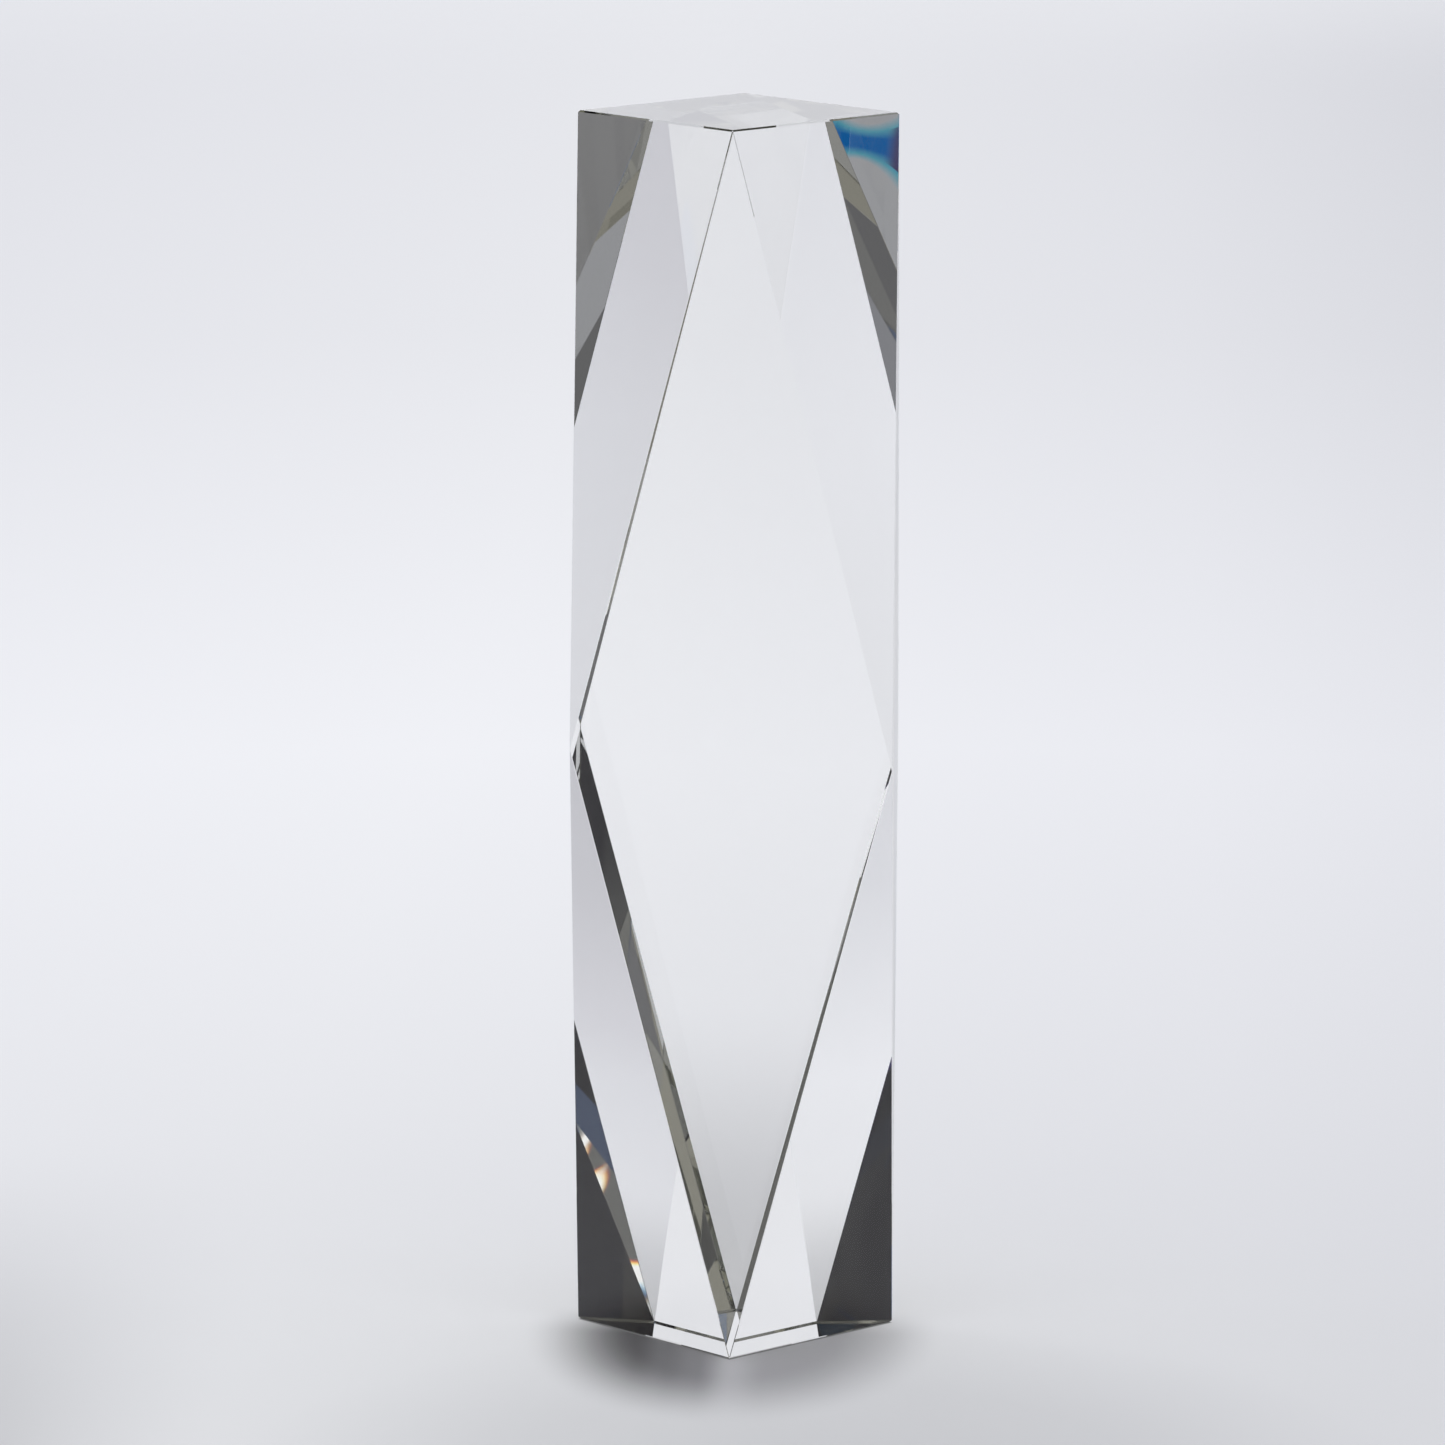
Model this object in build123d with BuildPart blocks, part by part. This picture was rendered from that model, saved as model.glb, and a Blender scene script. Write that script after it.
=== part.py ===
"""Faceted crystal award: one tower block, cut and polished from optical crystal.

The block starts as an upright square bar.  Eight slanted facets, four above the
waist and four below it, take the bar's corners back to the middles of its top and
base edges and to the waist, which sits a little below half height.  What is left
has fourteen flat faces: four upright diamonds, eight tall triangles, and a square
top and base turned 45 degrees from the bar.  Every edge then gets a narrow
polished bevel.

Lengths are in millimetres.  +Z is up, the base rests on Z = 0, and the diamond
faces look along X and Y.
"""

import os
from itertools import product
from math import radians, tan

from build123d import *

# Driving dimensions
bar_width = 62.0  # across two opposite diamond faces
tower_height = 240.0  # from the base to the top face
waist_height = 117.0  # from the base to the corners where the diamonds are widest
rim_bevel = 0.5  # width of the bevel round the top face and the base
arris_bevel = 0.15  # width of the bevel between a diamond and a triangle

# Places that follow from them
half_width = bar_width / 2
up = Vector(0, 0, 1)
rims = ((tower_height, up), (0, -up))


def bevel_plane(edge_point, normal_a, normal_b, width):
    """Plane that leaves a flat of this width along the edge between two faces."""
    outward = (normal_a + normal_b).normalized()
    half_angle = radians((180 - normal_a.get_angle(normal_b)) / 2)
    depth = width / (2 * tan(half_angle))
    return Plane(origin=edge_point - outward * depth, z_dir=outward)


facet_planes = []
bevel_planes = []
for side_x, side_y, (rim_height, rim_normal) in product((1, -1), (1, -1), rims):
    # The facet passes through a waist corner and two rim corners
    waist_corner = Vector(side_x * half_width, side_y * half_width, waist_height)
    rim_corner_x = Vector(side_x * half_width, 0, rim_height)
    rim_corner_y = Vector(0, side_y * half_width, rim_height)
    slope = half_width / (rim_height - waist_height)
    facet_normal = Vector(side_x, side_y, slope).normalized()
    facet_planes.append(Plane(origin=waist_corner, z_dir=facet_normal))

    # Its three edges meet the top or base, and the two diamonds beside it
    rim_middle = (rim_corner_x + rim_corner_y) * 0.5
    bevel_planes.append(bevel_plane(rim_middle, facet_normal, rim_normal, rim_bevel))
    for rim_corner, diamond_normal in (
        (rim_corner_x, Vector(side_x, 0, 0)),
        (rim_corner_y, Vector(0, side_y, 0)),
    ):
        edge_middle = (rim_corner + waist_corner) * 0.5
        bevel_planes.append(bevel_plane(edge_middle, facet_normal, diamond_normal, arris_bevel))

with BuildPart() as crystal_block:
    Box(bar_width, bar_width, tower_height, align=(Align.CENTER, Align.CENTER, Align.MIN))
    for cut in facet_planes + bevel_planes:
        split(bisect_by=cut, keep=Keep.BOTTOM)

crystal_block.part.label = "crystal_block"

os.makedirs("parts", exist_ok=True)
export_step(crystal_block.part, "parts/crystal_block.step")
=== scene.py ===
"""Studio looks for a faceted tower award, cut and polished from one block of optical crystal.

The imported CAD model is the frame.  The block is rebuilt here by a rule: take an upright
square bar, mark the middle of each of its twelve edges, slide the four waist marks along
their edges to the waist, and stretch a tight skin over the twelve marks.  That gives four
diamonds, eight triangles and a square top and base.  Every edge is bevelled, and the result
is dressed as clear glass.
"""

from __future__ import annotations

import logging
import math
from dataclasses import dataclass
from enum import Enum
from typing import Any, Sequence

import bmesh
import bpy
from mathutils import Euler, Matrix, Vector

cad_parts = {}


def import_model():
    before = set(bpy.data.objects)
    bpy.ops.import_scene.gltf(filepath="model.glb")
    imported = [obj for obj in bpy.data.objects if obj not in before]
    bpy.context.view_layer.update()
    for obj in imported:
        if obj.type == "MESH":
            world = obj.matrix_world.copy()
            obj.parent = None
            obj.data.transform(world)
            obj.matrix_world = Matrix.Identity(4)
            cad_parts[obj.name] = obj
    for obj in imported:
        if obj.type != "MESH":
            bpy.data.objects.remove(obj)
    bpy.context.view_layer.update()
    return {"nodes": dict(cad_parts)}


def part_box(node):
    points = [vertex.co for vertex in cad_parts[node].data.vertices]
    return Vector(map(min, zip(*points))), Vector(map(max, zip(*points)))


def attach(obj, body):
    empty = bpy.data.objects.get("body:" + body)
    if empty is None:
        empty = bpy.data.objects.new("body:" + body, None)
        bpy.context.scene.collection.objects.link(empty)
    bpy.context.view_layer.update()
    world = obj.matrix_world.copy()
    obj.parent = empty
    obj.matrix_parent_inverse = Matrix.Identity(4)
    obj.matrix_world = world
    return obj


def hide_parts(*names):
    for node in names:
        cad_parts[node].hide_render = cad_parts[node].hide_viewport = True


log = logging.getLogger("crystal_award")

MM = 0.001  # metres in a millimetre
BODY = "root"
CAD_NODE = "crystal_block"
MOST_BOUNCES = 40
HALF_BOUNCE = 0.5  # a path's depth is above this once it has bounced at all


def linear(hex_colour: str) -> tuple[float, float, float, float]:
    """Turn an sRGB hex colour into linear light.

    Args:
        hex_colour: Six hex digits after a hash sign.

    Returns:
        Red, green, blue and an alpha of 1.
    """
    channels = [int(hex_colour[i : i + 2], 16) / 255 for i in (1, 3, 5)]
    red, green, blue = (
        c / 12.92 if c <= 0.04045 else ((c + 0.055) / 1.055) ** 2.4 for c in channels
    )
    return red, green, blue, 1.0


def add_node(
    tree: bpy.types.NodeTree,
    kind: str,
    inputs: dict[str | int, Any] | None = None,
    **settings: Any,
) -> bpy.types.Node:
    """Add one node, with its settings and what feeds it.

    Args:
        tree: The tree that gets the node.
        kind: The node's type name.
        inputs: For each input, by name or number, a value, a socket, or a node whose
            first live output feeds it.
        **settings: Attributes of the node itself.

    Returns:
        The new node.
    """
    node = tree.nodes.new(kind)
    for name, value in settings.items():
        setattr(node, name, value)
    for key, value in (inputs or {}).items():
        if isinstance(key, int):
            socket = node.inputs[key]
        else:
            socket = next(s for s in node.inputs if s.enabled and s.name == key)
        if isinstance(value, bpy.types.Node):
            value = next(s for s in value.outputs if s.enabled)
        if isinstance(value, bpy.types.NodeSocket):
            tree.links.new(value, socket)
        else:
            socket.default_value = value
    return node


def set_stops(ramp: bpy.types.ColorRamp, stops: Sequence[tuple[float, str]]) -> None:
    """Give a colour ramp these stops, each a place from 0 to 1 and a hex colour."""
    while len(ramp.elements) > 1:
        ramp.elements.remove(ramp.elements[-1])
    for number, (place, colour) in enumerate(stops):
        stop = ramp.elements[0] if number == 0 else ramp.elements.new(place)
        stop.position = place
        stop.color = linear(colour)


def is_mirrored_inside(
    tree: bpy.types.NodeTree, path: bpy.types.bpy_prop_collection
) -> bpy.types.Node:
    """Tell light that was mirrored at least once on its way through the glass.

    Args:
        tree: The tree that gets the test.
        path: The outputs of a Light Path node.

    Returns:
        A node that gives 1 for such light and 0 for any other.
    """
    mirrored, entered = (
        add_node(
            tree, "ShaderNodeMath", {0: path[name], 1: HALF_BOUNCE}, operation="GREATER_THAN"
        )
        for name in ("Glossy Depth", "Transmission Depth")
    )
    return add_node(tree, "ShaderNodeMath", {0: mirrored, 1: entered}, operation="MULTIPLY")


@dataclass(frozen=True)
class OpticalCrystal:
    """Lead-free optical crystal, ground flat and cerium polished.

    The eye gets mirror-flat facets with no haze, dark and bright patches where the
    facets bend light from round the room, and a faint grey-green in the longest paths.
    The faces carry no pattern: hairlines and dust are left out.
    """

    name: str = "polished_optical_crystal"
    ior: float = 1.564
    body_tint: str = "#EFF0E9"
    body_density: float = 2.2

    def material(self) -> bpy.types.Material:
        """Build the glass.

        Returns:
            The material.
        """
        material = bpy.data.materials.new(self.name)
        material.use_nodes = True
        tree = material.node_tree
        tree.nodes.clear()
        glass = add_node(
            tree,
            "ShaderNodeBsdfPrincipled",
            {
                "Base Color": linear("#FFFFFF"),
                "Roughness": 0.0,
                "IOR": self.ior,
                "Transmission Weight": 1.0,
            },
        )
        body = add_node(
            tree,
            "ShaderNodeVolumeAbsorption",
            {"Color": linear(self.body_tint), "Density": self.body_density},
        )
        add_node(
            tree,
            "ShaderNodeOutputMaterial",
            {"Surface": glass, "Volume": body},
        )
        return material


@dataclass
class TowerBlock:
    """The cut block, in metres: the frame's width and height, and the maker's own sizes.

    The waist slopes say how far this one block was ground out of level: how much its
    waist rises for each metre to the right, and for each metre to the back.
    """

    bar_width: float
    tower_height: float
    finish: OpticalCrystal
    waist_height: float = 117.0 * MM
    waist_slopes: tuple[float, float] = (-0.060, -0.045)
    rim_bevel: float = 0.5 * MM
    arris_bevel: float = 0.15 * MM

    def rule_tree(self) -> bpy.types.NodeTree:
        """Build the node tree that turns a bar into the faceted block.

        Returns:
            A tree with the inputs Bar Width, Tower Height, Waist Rise, Waist Slopes,
            Arris Share and Glass.
        """
        tree = bpy.data.node_groups.new("faceted_block", "GeometryNodeTree")
        face = tree.interface
        face.new_socket("Geometry", in_out="INPUT", socket_type="NodeSocketGeometry")
        for name in ("Bar Width", "Tower Height", "Waist Rise", "Arris Share"):
            face.new_socket(name, in_out="INPUT", socket_type="NodeSocketFloat")
        face.new_socket("Waist Slopes", in_out="INPUT", socket_type="NodeSocketVector")
        face.new_socket("Glass", in_out="INPUT", socket_type="NodeSocketMaterial")
        face.new_socket("Geometry", in_out="OUTPUT", socket_type="NodeSocketGeometry")
        given = add_node(tree, "NodeGroupInput").outputs
        size = add_node(
            tree,
            "ShaderNodeCombineXYZ",
            {0: given["Bar Width"], 1: given["Bar Width"], 2: given["Tower Height"]},
        )
        bar = add_node(tree, "GeometryNodeMeshCube", {"Size": size.outputs[0]})
        marks = add_node(
            tree, "GeometryNodeMeshToPoints", {"Mesh": bar.outputs["Mesh"]}, mode="EDGES"
        )
        place = add_node(tree, "GeometryNodeInputPosition").outputs[0]
        up = add_node(tree, "ShaderNodeSeparateXYZ", {0: place}).outputs["Z"]
        at_waist = add_node(tree, "ShaderNodeMath", {0: up, 1: 0.0, 2: 1 * MM}, operation="COMPARE")
        lean = add_node(
            tree,
            "ShaderNodeVectorMath",
            {0: place, 1: given["Waist Slopes"]},
            operation="DOT_PRODUCT",
        ).outputs["Value"]
        rise = add_node(tree, "ShaderNodeMath", {0: lean, 1: given["Waist Rise"]})
        slid = add_node(
            tree,
            "GeometryNodeSetPosition",
            {
                "Geometry": marks.outputs[0],
                "Selection": at_waist,
                "Offset": add_node(tree, "ShaderNodeCombineXYZ", {2: rise}),
            },
        )
        skin = add_node(tree, "GeometryNodeConvexHull", {"Geometry": slid.outputs[0]})
        half = add_node(
            tree, "ShaderNodeMath", {0: given["Tower Height"], 1: 0.5}, operation="MULTIPLY"
        )
        lift = add_node(tree, "ShaderNodeCombineXYZ", {2: half})
        stood = add_node(
            tree,
            "GeometryNodeTransform",
            {"Geometry": skin.outputs[0], "Translation": lift.outputs[0]},
        )
        ends = add_node(tree, "GeometryNodeInputMeshEdgeVertices").outputs
        run = add_node(
            tree,
            "ShaderNodeVectorMath",
            {0: ends["Position 1"], 1: ends["Position 2"]},
            operation="SUBTRACT",
        )
        climb = add_node(tree, "ShaderNodeSeparateXYZ", {0: run.outputs[0]}).outputs["Z"]
        level = add_node(tree, "ShaderNodeMath", {0: climb, 1: 0.0, 2: 1 * MM}, operation="COMPARE")
        share = add_node(
            tree, "ShaderNodeMath", {0: level, 1: given["Arris Share"]}, operation="MAXIMUM"
        )
        weighted = add_node(
            tree,
            "GeometryNodeStoreNamedAttribute",
            {"Geometry": stood.outputs[0], "Name": "bevel_weight_edge", "Value": share},
            data_type="FLOAT",
            domain="EDGE",
        )
        flat = add_node(
            tree,
            "GeometryNodeSetShadeSmooth",
            {"Geometry": weighted.outputs[0], "Shade Smooth": False},
        )
        whole = add_node(tree, "GeometryNodeRealizeInstances", {"Geometry": flat.outputs[0]})
        dressed = add_node(
            tree,
            "GeometryNodeSetMaterial",
            {"Geometry": whole.outputs[0], "Material": given["Glass"]},
        )
        add_node(tree, "NodeGroupOutput", {"Geometry": dressed.outputs[0]})
        return tree

    def build(self) -> bpy.types.Object:
        """Run the rule, bevel the edges and turn the result into a plain mesh.

        Returns:
            The finished piece, riding on the award's one body.
        """
        carrier = bpy.data.objects.new("carrier", bpy.data.meshes.new("carrier"))
        bpy.context.scene.collection.objects.link(carrier)
        tree = self.rule_tree()
        rule = carrier.modifiers.new("rule", "NODES")
        rule.node_group = tree
        values = {
            "Bar Width": self.bar_width,
            "Tower Height": self.tower_height,
            "Waist Rise": self.waist_height - self.tower_height / 2,
            "Waist Slopes": (*self.waist_slopes, 0.0),
            "Arris Share": self.arris_bevel / self.rim_bevel,
            "Glass": self.finish.material(),
        }
        for item in tree.interface.items_tree:
            if item.in_out == "INPUT" and item.name in values:
                rule[item.identifier] = values[item.name]
        bevel = carrier.modifiers.new("bevel", "BEVEL")
        bevel.limit_method = "WEIGHT"
        bevel.offset_type = "WIDTH"
        bevel.width = self.rim_bevel
        bevel.segments = 1
        bevel.use_clamp_overlap = False
        seen = carrier.evaluated_get(bpy.context.evaluated_depsgraph_get())
        mesh = bpy.data.meshes.new_from_object(seen)
        mesh.name = "crystal_tower"
        bpy.data.objects.remove(carrier)
        piece = bpy.data.objects.new("crystal_tower", mesh)
        bpy.context.scene.collection.objects.link(piece)
        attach(piece, BODY)
        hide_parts(CAD_NODE)
        log.info("%s: %d faces", piece.name, len(mesh.polygons))
        return piece


@dataclass
class PaperFloor:
    """A wide round of paper, with painted shade from the light's falloff and the award's soft shadow
    painted on it.

    Its tone is darkest round the award, as painted shade from light falling off, and it fades out
    far off.  Where it is seen straight through the glass, close to the block, a painted shadow makes
    it a little darker.  Light that was mirrored inside the glass goes through it, except under the
    block's foot, which is painted grey as shade.
    """

    radius: float = 3.2
    fade_from: float = 2.2
    faded_rim: float = 0.2
    gap: float = 0.15 * MM
    sides: int = 96
    roughness: float = 0.3
    # painted shade: the tone ramp below is darkest round this point, just in front of the award, in
    # place of light falling off
    darkest_shade_at: tuple[float, float] = (0.02, -0.11)
    tones: tuple[tuple[float, str], ...] = (
        (0.000, "#D0D1D4"),
        (0.024, "#D6D7DA"),
        (0.044, "#E4E5E8"),
        (0.087, "#E9EAEE"),
        (0.176, "#EFF0F4"),
        (0.290, "#F5F6FA"),
        (0.456, "#F0F1F5"),
        (0.600, "#ECEDF1"),
        (1.000, "#EAEBEF"),
    )
    tone_reach: float = 2.5
    # painted shade: the paper is darker towards the sides, most of all to the right, where less
    # light falls
    painted_side_shade: tuple[tuple[float, str], ...] = (
        (0.150, "#F4F4F6"),
        (0.350, "#FCFCFD"),
        (0.450, "#FFFFFF"),
        (0.550, "#F9F9FA"),
        (0.625, "#EDEDEF"),
        (0.675, "#E4E3E6"),
        (0.800, "#DCDBDE"),
    )
    side_reach: float = 1.0
    shadow_size: tuple[float, float] = (38.0 * MM, 65.0 * MM)
    shadow_ahead: float = 10.0 * MM
    shadow_edge: tuple[float, float] = (1.1, 0.5)
    shadow_front: tuple[float, float] = (12.0 * MM, -12.0 * MM)
    shadow_sides: tuple[tuple[float, str], ...] = (
        (0.10, "#666566"),
        (0.25, "#6C6B6C"),
        (0.33, "#888789"),
        (0.42, "#9C9B9D"),
        (0.51, "#D0CFD1"),
        (0.60, "#BDBCBE"),
        (0.80, "#BAB9BB"),
        (1.00, "#A09FA1"),
    )
    foot_half: float = 31.0 * MM
    # painted shade: the paper under the block's foot is grey, as if in the block's own shade
    painted_foot_shade: str = "#7A7A7C"
    # painted shadow: close round the block, the paper is darker where it is seen through the glass
    seen_through: tuple[float, float] = (0.33, 0.08)
    seen_through_shadow: float = 0.25
    # painted shade: the paper's front-left corner is darkened
    corner_sides: tuple[float, float] = (-0.09, -0.17)
    corner_depths: tuple[float, float] = (0.16, -0.16)
    painted_corner_shade: float = 0.36

    def material(self) -> bpy.types.Material:
        """Matt paper with painted shade and a painted shadow, which light that was mirrored inside
        the glass passes through.

        Returns:
            The material.
        """
        material = bpy.data.materials.new("paper_with_painted_shade")
        material.use_nodes = True
        tree = material.node_tree
        tree.nodes.clear()
        place = add_node(tree, "ShaderNodeTexCoord").outputs["Object"]
        split = add_node(tree, "ShaderNodeSeparateXYZ", {0: place}).outputs
        path = add_node(tree, "ShaderNodeLightPath").outputs
        off = add_node(
            tree,
            "ShaderNodeVectorMath",
            {0: place, 1: (*self.darkest_shade_at, 0.0)},
            operation="DISTANCE",
        ).outputs["Value"]
        # painted shade and a painted shadow go into the paper's colour here
        lit = self.add_shadow(tree, place, split, self.add_painted_light_falloff(tree, off, split))
        dimmed = self.paint_shadow_behind_glass(tree, place, path, lit)
        off_foot = self.find_off_foot(tree, place)
        # painted shade: grey under the foot, the shaded paper elsewhere
        final = add_node(
            tree,
            "ShaderNodeMix",
            {"Factor": off_foot, "A": linear(self.painted_foot_shade), "B": dimmed},
            data_type="RGBA",
        )
        paper = add_node(
            tree, "ShaderNodeBsdfDiffuse", {"Color": final, "Roughness": self.roughness}
        )
        clear = add_node(tree, "ShaderNodeBsdfTransparent")
        mirrored = add_node(
            tree,
            "ShaderNodeMath",
            {0: is_mirrored_inside(tree, path), 1: off_foot},
            operation="MULTIPLY",
        )
        far = add_node(
            tree,
            "ShaderNodeMapRange",
            {
                "Value": off,
                "From Min": self.fade_from,
                "From Max": self.radius - self.faded_rim,
            },
            interpolation_type="SMOOTHSTEP",
        )
        away = add_node(tree, "ShaderNodeMath", {0: mirrored, 1: far}, operation="MAXIMUM")
        both = add_node(tree, "ShaderNodeMixShader", {0: away, 1: paper, 2: clear})
        add_node(tree, "ShaderNodeOutputMaterial", {"Surface": both})
        return material

    def add_painted_light_falloff(self, tree: bpy.types.NodeTree, off: Any, split: Any) -> bpy.types.Node:
        """Paint the light's falloff on the paper as shade, outwards and from side to side, and
        darken one corner with painted shade.

        Args:
            tree: The paper's tree.
            off: The socket with the distance from where the painted shade is darkest.
            split: The place's three sockets.

        Returns:
            The node with the paper's colour and its painted shade.
        """
        share = add_node(
            tree, "ShaderNodeMath", {0: off, 1: self.tone_reach}, operation="DIVIDE"
        )
        tone = add_node(tree, "ShaderNodeValToRGB", {"Fac": share})
        set_stops(tone.color_ramp, self.tones)
        side = add_node(
            tree,
            "ShaderNodeMapRange",
            {"Value": split["X"], "From Min": -self.side_reach, "From Max": self.side_reach},
        )
        sides = add_node(tree, "ShaderNodeValToRGB", {"Fac": side})
        set_stops(sides.color_ramp, self.painted_side_shade)
        falloff_shaded = add_node(
            tree,
            "ShaderNodeMix",
            {"Factor": 1.0, "A": tone.outputs["Color"], "B": sides.outputs["Color"]},
            data_type="RGBA",
            blend_type="MULTIPLY",
        )
        # painted shade in the paper's front-left corner
        left, near = (
            add_node(
                tree,
                "ShaderNodeMapRange",
                {"Value": split[axis], "From Min": start, "From Max": end},
                interpolation_type="SMOOTHSTEP",
            )
            for axis, (start, end) in (("X", self.corner_sides), ("Y", self.corner_depths))
        )
        both = add_node(tree, "ShaderNodeMath", {0: left, 1: near}, operation="MULTIPLY")
        painted_shade_share = add_node(
            tree, "ShaderNodeMath", {0: both, 1: self.painted_corner_shade}, operation="MULTIPLY"
        )
        return add_node(
            tree,
            "ShaderNodeMix",
            {"Factor": painted_shade_share, "A": falloff_shaded, "B": linear("#000000")},
            data_type="RGBA",
        )

    def add_shadow(
        self, tree: bpy.types.NodeTree, place: Any, split: Any, colour: Any
    ) -> bpy.types.Node:
        """Add the soft shadow in front of the foot, darker to the left of the middle.

        Args:
            tree: The paper's tree.
            place: The place's socket.
            split: The place's three sockets.
            colour: What the shadow falls on.

        Returns:
            The node with the shaded colour.
        """
        width, length = self.shadow_size
        from_shadow = add_node(
            tree,
            "ShaderNodeVectorMath",
            {0: place, 1: (0.0, self.shadow_ahead, 0.0)},
            operation="ADD",
        )
        scaled = add_node(
            tree,
            "ShaderNodeVectorMath",
            {0: from_shadow, 1: (1 / width, 1 / length, 0.0)},
            operation="MULTIPLY",
        )
        far_off = add_node(
            tree, "ShaderNodeVectorMath", {0: scaled.outputs[0]}, operation="LENGTH"
        ).outputs["Value"]
        in_shadow, in_front = (
            add_node(
                tree,
                "ShaderNodeMapRange",
                {"Value": value, "From Min": start, "From Max": end},
                interpolation_type="SMOOTHSTEP",
            )
            for value, (start, end) in ((far_off, self.shadow_edge), (split["Y"], self.shadow_front))
        )
        shadow = add_node(
            tree, "ShaderNodeMath", {0: in_shadow, 1: in_front}, operation="MULTIPLY"
        )
        lobe = add_node(
            tree,
            "ShaderNodeMapRange",
            {"Value": split["X"], "From Min": -width, "From Max": width},
        )
        lobes = add_node(tree, "ShaderNodeValToRGB", {"Fac": lobe})
        lobes.color_ramp.interpolation = "EASE"
        set_stops(lobes.color_ramp, self.shadow_sides)
        return add_node(
            tree,
            "ShaderNodeMix",
            {"Factor": shadow, "A": colour, "B": lobes.outputs["Color"]},
            data_type="RGBA",
            blend_type="MULTIPLY",
        )

    def paint_shadow_behind_glass(
        self, tree: bpy.types.NodeTree, place: Any, path: Any, colour: Any
    ) -> bpy.types.Node:
        """Paint a shadow on the paper round the block where it is seen through the glass.

        Args:
            tree: The paper's tree.
            place: The place's socket.
            path: The outputs of a Light Path node.
            colour: The paper's colour so far.

        Returns:
            The node with the dimmed colour.
        """
        out = add_node(tree, "ShaderNodeVectorMath", {0: place}, operation="LENGTH")
        behind = add_node(
            tree,
            "ShaderNodeMapRange",
            {
                "Value": out.outputs["Value"],
                "From Min": self.seen_through[0],
                "From Max": self.seen_through[1],
                "To Max": self.seen_through_shadow,
            },
            interpolation_type="SMOOTHSTEP",
        )
        through = add_node(
            tree,
            "ShaderNodeMath",
            {0: path["Transmission Depth"], 1: HALF_BOUNCE},
            operation="GREATER_THAN",
        )
        painted_shade_share = add_node(tree, "ShaderNodeMath", {0: behind, 1: through}, operation="MULTIPLY")
        return add_node(
            tree,
            "ShaderNodeMix",
            {"Factor": painted_shade_share, "A": colour, "B": linear("#000000")},
            data_type="RGBA",
        )

    def find_off_foot(self, tree: bpy.types.NodeTree, place: Any) -> bpy.types.Node:
        """Tell the open paper from the turned square under the block.

        Args:
            tree: The paper's tree.
            place: The place's socket.

        Returns:
            A node that gives 1 on open paper and 0 under the block.
        """
        size = add_node(tree, "ShaderNodeVectorMath", {0: place}, operation="ABSOLUTE")
        reach = add_node(
            tree,
            "ShaderNodeVectorMath",
            {0: size.outputs[0], 1: (1.0, 1.0, 0.0)},
            operation="DOT_PRODUCT",
        ).outputs["Value"]
        return add_node(
            tree, "ShaderNodeMath", {0: reach, 1: self.foot_half}, operation="GREATER_THAN"
        )

    def build(self) -> bpy.types.Object:
        """Lay the round of paper.

        Returns:
            The stage object.
        """
        shape = bmesh.new()
        bmesh.ops.create_circle(
            shape, cap_ends=True, cap_tris=True, radius=self.radius, segments=self.sides
        )
        bmesh.ops.translate(shape, verts=shape.verts, vec=(0, 0, -self.gap))
        mesh = bpy.data.meshes.new("paper_floor")
        shape.to_mesh(mesh)
        shape.free()
        mesh.materials.append(self.material())
        floor = bpy.data.objects.new("paper_floor", mesh)
        bpy.context.scene.collection.objects.link(floor)
        log.info("paper floor laid, %.1f m across", 2 * self.radius)
        return floor


class Sight(Enum):
    """The ways in which light can look out into the room."""

    PLAIN = "straight, or straight through the glass"
    SHEEN = "mirrored off the outside of the glass"
    MIRRORED = "mirrored inside the glass"
    DEEP = "mirrored inside the glass many times over"
    LIGHTING = "lighting the paper"


@dataclass(frozen=True)
class Panel:
    """A soft-edged part of the room, given by limits on a unit direction.

    Limits are pairs of low and high.  Across is towards the right, depth is away from
    the camera, and up is up.
    """

    colour: str
    level: float = 1.0
    across: tuple[float, float] = (-2.0, 2.0)
    depth: tuple[float, float] = (-2.0, 2.0)
    up: tuple[float, float] = (-2.0, 2.0)
    softness: float = 0.04


ROOM: dict[Sight, tuple[Panel, ...]] = {
    Sight.PLAIN: (
        Panel("#E9EAEE"),
        Panel("#EEEFF4", up=(-0.04, 2.0), softness=0.05),
        Panel("#DADADE", across=(0.25, 2.0), depth=(0.0, 2.0), softness=0.12),
    ),
    Sight.SHEEN: (
        Panel("#2A2A2C"),
        Panel("#F8F9FF", level=1.18, depth=(0.80, 2.0), softness=0.1),
    ),
    Sight.MIRRORED: (
        Panel("#1E1C1F"),
        Panel("#626263", up=(-2.0, -0.02)),
        Panel("#84858A", across=(-2.0, -0.35), up=(-2.0, -0.02), softness=0.15),
        Panel("#9C9DA1", across=(-2.0, -0.56), depth=(-2.0, 0.2), up=(-2.0, -0.53)),
        Panel("#7C7C7E", across=(0.74, 2.0), up=(-2.0, -0.58), softness=0.03),
        Panel("#8C8C8A", up=(-2.0, -0.74), softness=0.05),
        Panel("#EDEEF3", depth=(0.80, 2.0), up=(-0.47, 0.36)),
        Panel("#B3B4B8", depth=(-2.0, -0.80), up=(-0.47, 0.20)),
        Panel("#6A6A68", up=(0.83, 2.0), softness=0.06),
        Panel("#8C8C8A", up=(0.95, 2.0), softness=0.03),
        Panel("#3F4A62", across=(-0.60, -0.30), up=(0.55, 0.65)),
        Panel("#68686B", across=(0.12, 0.33), depth=(0.50, 2.0), up=(0.52, 0.66)),
        Panel("#EDEEF3", 1.0, (0.05, 0.25), (-2.0, -0.70), (0.585, 0.66), 0.012),
        Panel("#5F5F5D", 1.0, (-0.16, 0.02), (-2.0, -0.75), (0.55, 0.60), 0.012),
    ),
    Sight.DEEP: (
        Panel("#8A8882"),
        Panel("#4B4A47", up=(0.0, 2.0), softness=0.2),
    ),
    Sight.LIGHTING: (
        Panel("#FFFFFF", level=0.45),
        Panel("#FFFFFF", level=1.85, up=(0.80, 2.0), softness=0.15),
    ),
}


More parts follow.
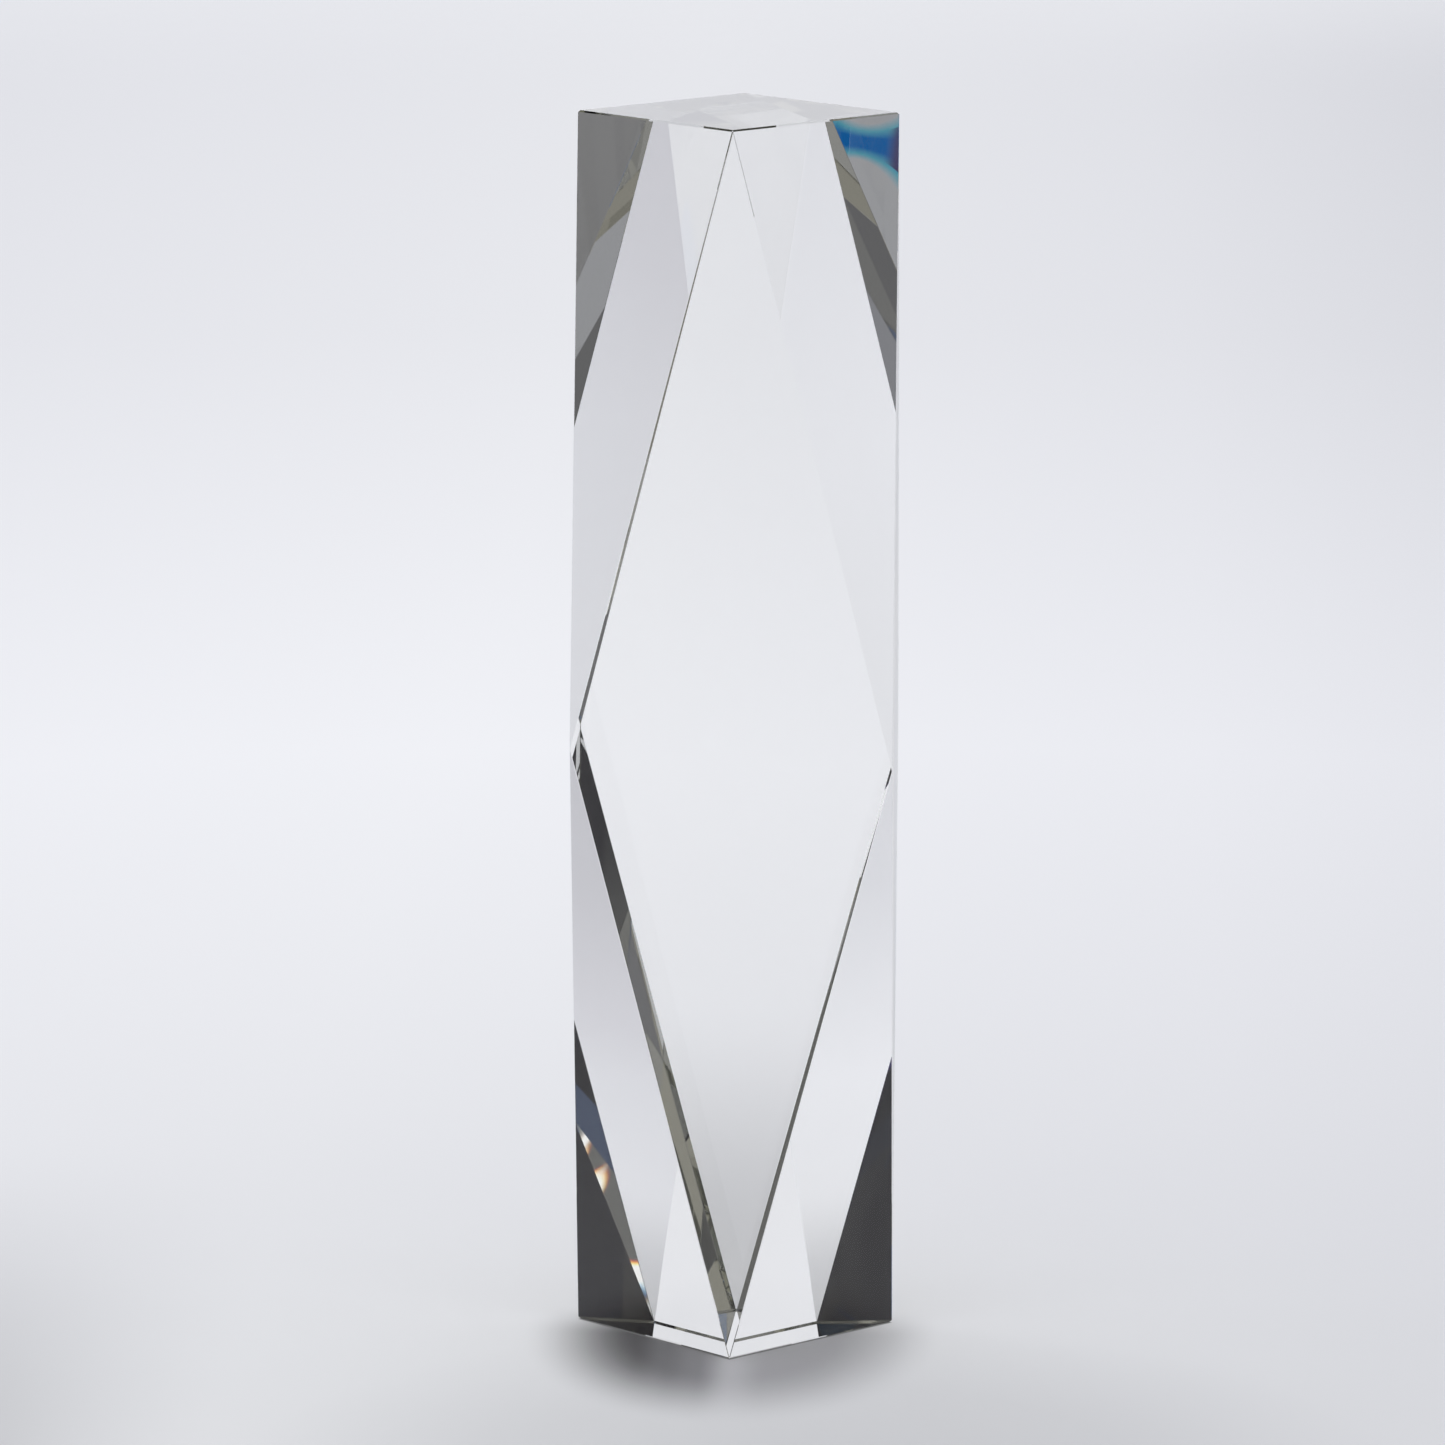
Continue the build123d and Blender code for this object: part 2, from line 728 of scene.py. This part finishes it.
@dataclass
class Surroundings:
    """The studio: pale in plain sight, mostly dark where the glass mirrors it.

    Each way of looking out has its own room.  The web and the band stand for the colours
    that real glass splits off, which glass of one refractive index doesn't give.
    """

    deep_from: float = 7.5
    web_scale: float = 70.0
    web_twist: float = 1.5
    web_line: tuple[float, float] = (0.03, 0.12)
    web_level: float = 0.9
    web_split: float = 0.00014
    web_limits: Panel = Panel("#FFFFFF", 1.0, (-0.05, 0.02), (-2.0, -0.75), (0.56, 0.60), 0.005)
    band_slope: float = 0.46
    band_height: float = -0.6020
    band_middle: float = -0.0025
    band_half: float = 0.0018
    band_flare: float = 66.0
    band_tones: tuple[tuple[float, str], ...] = (
        (0.00, "#9E9FA4"),
        (0.16, "#4F93A6"),
        (0.34, "#00589A"),
        (0.62, "#00589A"),
        (0.80, "#4F93A6"),
        (1.00, "#9E9FA4"),
    )
    band_core: float = 0.30
    band_edge: float = 0.499
    band_end: str = "#3A345E"
    band_end_at: tuple[float, float] = (-0.0058, -0.0080)
    band_left_of: float = -0.7

    def inside(
        self, tree: bpy.types.NodeTree, way: Sequence[Any], panel: Panel
    ) -> bpy.types.Node | None:
        """Find how far a direction is inside a panel.

        Args:
            tree: The world's tree.
            way: Sockets with the direction's across, depth and up.
            panel: The panel.

        Returns:
            A node that gives 0 to 1, or nothing if the panel is all round.
        """
        mask = None
        for socket, (low, high) in zip(way, (panel.across, panel.depth, panel.up)):
            for edge, start, end in ((low, 0.0, 1.0), (high, 1.0, 0.0)):
                if abs(edge) > 1:
                    continue
                side = add_node(
                    tree,
                    "ShaderNodeMapRange",
                    {
                        "Value": socket,
                        "From Min": edge - panel.softness,
                        "From Max": edge + panel.softness,
                        "To Min": start,
                        "To Max": end,
                    },
                    interpolation_type="SMOOTHSTEP",
                )
                if mask is not None:
                    side = add_node(
                        tree, "ShaderNodeMath", {0: mask, 1: side}, operation="MULTIPLY"
                    )
                mask = side
        return mask

    def add_web(
        self, tree: bpy.types.NodeTree, way: Sequence[Any], direction: Any, colour: Any
    ) -> bpy.types.Node:
        """Add thin wavy lines of light with spectral edges, as cut glass throws on a wall.

        Args:
            tree: The world's tree.
            way: Sockets with the direction's across, depth and up.
            direction: The direction's socket.
            colour: What the lines are laid over.

        Returns:
            The node with the finished colour.
        """
        lines = []
        for shift in (-self.web_split, 0.0, self.web_split):
            moved = add_node(
                tree,
                "ShaderNodeVectorMath",
                {0: direction, 1: (shift, 0.0, shift)},
                operation="ADD",
            )
            waves = add_node(
                tree,
                "ShaderNodeTexNoise",
                {
                    "Vector": moved,
                    "Scale": self.web_scale,
                    "Detail": self.web_twist,
                    "Distortion": self.web_twist,
                },
            )
            off = add_node(
                tree, "ShaderNodeMath", {0: waves.outputs[0], 1: 0.5}, operation="SUBTRACT"
            )
            size = add_node(tree, "ShaderNodeMath", {0: off}, operation="ABSOLUTE")
            lines.append(
                add_node(
                    tree,
                    "ShaderNodeMapRange",
                    {
                        "Value": size,
                        "From Min": self.web_line[0],
                        "From Max": self.web_line[1],
                        "To Min": self.web_level,
                        "To Max": 0.0,
                    },
                    interpolation_type="SMOOTHSTEP",
                )
            )
        web = add_node(tree, "ShaderNodeCombineColor", dict(enumerate(lines)))
        mask = self.inside(tree, way, self.web_limits)
        return add_node(
            tree,
            "ShaderNodeMix",
            {"Factor": mask, "A": colour, "B": web},
            data_type="RGBA",
            blend_type="ADD",
        )

    def add_band(
        self, tree: bpy.types.NodeTree, split: Any, colour: Any
    ) -> bpy.types.Node:
        """Add the blue end of a spectrum, low on the left, where the glass splits light.

        Args:
            tree: The world's tree.
            split: The direction's three sockets.
            colour: What the band is laid over.

        Returns:
            The node with the finished colour.
        """
        tilt = add_node(
            tree,
            "ShaderNodeMath",
            {0: split["Y"], 1: -self.band_slope, 2: split["Z"]},
            operation="MULTIPLY_ADD",
        )
        along = add_node(
            tree,
            "ShaderNodeMath",
            {0: split["Y"], 1: self.band_middle},
            operation="SUBTRACT",
        )
        flare = add_node(tree, "ShaderNodeMath", {0: along, 1: along}, operation="MULTIPLY")
        half = add_node(
            tree,
            "ShaderNodeMath",
            {0: flare, 1: self.band_flare, 2: self.band_half},
            operation="MULTIPLY_ADD",
        )
        off = add_node(
            tree, "ShaderNodeMath", {0: tilt, 1: self.band_height}, operation="SUBTRACT"
        )
        ratio = add_node(tree, "ShaderNodeMath", {0: off, 1: half}, operation="DIVIDE")
        share = add_node(
            tree, "ShaderNodeMapRange", {"Value": ratio, "From Min": -1.0, "From Max": 1.0}
        )
        tones = add_node(tree, "ShaderNodeValToRGB", {"Fac": share})
        set_stops(tones.color_ramp, self.band_tones)
        core = add_node(
            tree, "ShaderNodeMath", {0: share, 1: 0.5, 2: self.band_core}, operation="COMPARE"
        )
        end = add_node(
            tree,
            "ShaderNodeMapRange",
            {
                "Value": split["Y"],
                "From Min": self.band_end_at[0],
                "From Max": self.band_end_at[1],
            },
            interpolation_type="SMOOTHSTEP",
        )
        dark = add_node(tree, "ShaderNodeMath", {0: core, 1: end}, operation="MULTIPLY")
        band = add_node(
            tree,
            "ShaderNodeMix",
            {"Factor": dark, "A": tones.outputs["Color"], "B": linear(self.band_end)},
            data_type="RGBA",
        )
        where = add_node(
            tree, "ShaderNodeMath", {0: share, 1: 0.5, 2: self.band_edge}, operation="COMPARE"
        )
        left = add_node(
            tree,
            "ShaderNodeMath",
            {0: split["X"], 1: self.band_left_of},
            operation="LESS_THAN",
        )
        mask = add_node(tree, "ShaderNodeMath", {0: where, 1: left}, operation="MULTIPLY")
        return add_node(
            tree, "ShaderNodeMix", {"Factor": mask, "A": colour, "B": band}, data_type="RGBA"
        )

    def paint(
        self, tree: bpy.types.NodeTree, way: Sequence[Any], panels: Sequence[Panel]
    ) -> bpy.types.Node:
        """Stack soft-edged panels over one another.

        Args:
            tree: The world's tree.
            way: Sockets with the direction's across, depth and up.
            panels: The panels, from the one at the back.

        Returns:
            The node with the finished colour.
        """
        colour = None
        for panel in panels:
            mask = self.inside(tree, way, panel)
            own = [panel.level * c for c in linear(panel.colour)[:3]] + [1.0]
            if colour is None:
                colour = add_node(tree, "ShaderNodeRGB")
                colour.outputs[0].default_value = own
            else:
                colour = add_node(
                    tree,
                    "ShaderNodeMix",
                    {"Factor": mask, "A": colour, "B": own},
                    data_type="RGBA",
                )
        return colour

    def build(self) -> bpy.types.World:
        """Build the world.

        Returns:
            The world, already in the scene.
        """
        world = bpy.data.worlds.new("studio")
        world.use_nodes = True
        tree = world.node_tree
        tree.nodes.clear()
        direction = add_node(tree, "ShaderNodeTexCoord").outputs["Generated"]
        split = add_node(tree, "ShaderNodeSeparateXYZ", {0: direction}).outputs
        way = (split["X"], split["Y"], split["Z"])
        path = add_node(tree, "ShaderNodeLightPath").outputs
        colour = self.paint(tree, way, ROOM[Sight.PLAIN])
        glossy, deeper, lighting = (
            add_node(tree, "ShaderNodeMath", {0: path[name], 1: limit}, operation="GREATER_THAN")
            for name, limit in (
                ("Glossy Depth", HALF_BOUNCE),
                ("Glossy Depth", self.deep_from),
                ("Diffuse Depth", HALF_BOUNCE),
            )
        )
        inside = is_mirrored_inside(tree, path)
        deep = add_node(tree, "ShaderNodeMath", {0: inside, 1: deeper}, operation="MULTIPLY")
        for sight, mask in (
            (Sight.SHEEN, glossy),
            (Sight.MIRRORED, inside),
            (Sight.DEEP, deep),
            (Sight.LIGHTING, lighting),
        ):
            view = self.paint(tree, way, ROOM[sight])
            if sight is Sight.MIRRORED:
                view = self.add_band(tree, split, self.add_web(tree, way, direction, view))
            colour = add_node(
                tree,
                "ShaderNodeMix",
                {"Factor": mask, "A": colour, "B": view},
                data_type="RGBA",
            )
        back = add_node(tree, "ShaderNodeBackground", {"Color": colour, "Strength": 1.0})
        add_node(tree, "ShaderNodeOutputWorld", {"Surface": back})
        bpy.context.scene.world = world
        log.info("surroundings painted")
        return world


@dataclass
class CameraRig:
    """A long lens on a tall stand, a little to the right of the front diamond."""

    distance: float = 1.7787
    height: float = 0.4493
    heading: float = math.radians(2.109)
    tilt: float = math.radians(10.487)
    roll: float = math.radians(0.152)
    sideways: float = -2.78 * MM
    lens_mm: float = 230.8
    sensor_mm: float = 36.0
    clip: tuple[float, float] = (0.05, 50.0)

    def build(self) -> bpy.types.Object:
        """Stand the camera up.

        Returns:
            The camera, already the scene's own.
        """
        data = bpy.data.cameras.new("camera")
        data.lens = self.lens_mm
        data.sensor_width = self.sensor_mm
        data.clip_start, data.clip_end = self.clip
        camera = bpy.data.objects.new("camera", data)
        turn = Matrix.Rotation(self.heading, 4, "Z")
        stand = Matrix.Translation((self.sideways, -self.distance, self.height))
        tip = Euler((math.pi / 2 - self.tilt, 0, 0)).to_matrix().to_4x4()
        camera.matrix_world = turn @ stand @ tip @ Matrix.Rotation(self.roll, 4, "Z")
        bpy.context.scene.collection.objects.link(camera)
        bpy.context.scene.camera = camera
        log.info("camera stands %.2f m away", self.distance)
        return camera


def set_light_paths() -> None:
    """Let light take the long way round inside the block."""
    scene = bpy.context.scene
    scene.view_settings.view_transform = "Standard"
    scene.cycles.max_bounces = MOST_BOUNCES
    scene.cycles.transmission_bounces = MOST_BOUNCES
    scene.cycles.glossy_bounces = MOST_BOUNCES
    scene.cycles.caustics_reflective = True
    scene.cycles.caustics_refractive = True
    scene.cycles.blur_glossy = 0.0
    scene.cycles.use_denoising = True


def main() -> None:
    """Build the award and its studio."""
    logging.basicConfig(level=logging.INFO, format="%(name)s: %(message)s")
    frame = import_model()
    low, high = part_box(CAD_NODE)
    TowerBlock(high.x - low.x, high.z - low.z, OpticalCrystal()).build()
    PaperFloor().build()
    Surroundings().build()
    CameraRig().build()
    set_light_paths()
    log.info("%d CAD nodes loaded", len(frame["nodes"]))


if __name__ == "__main__":
    main()
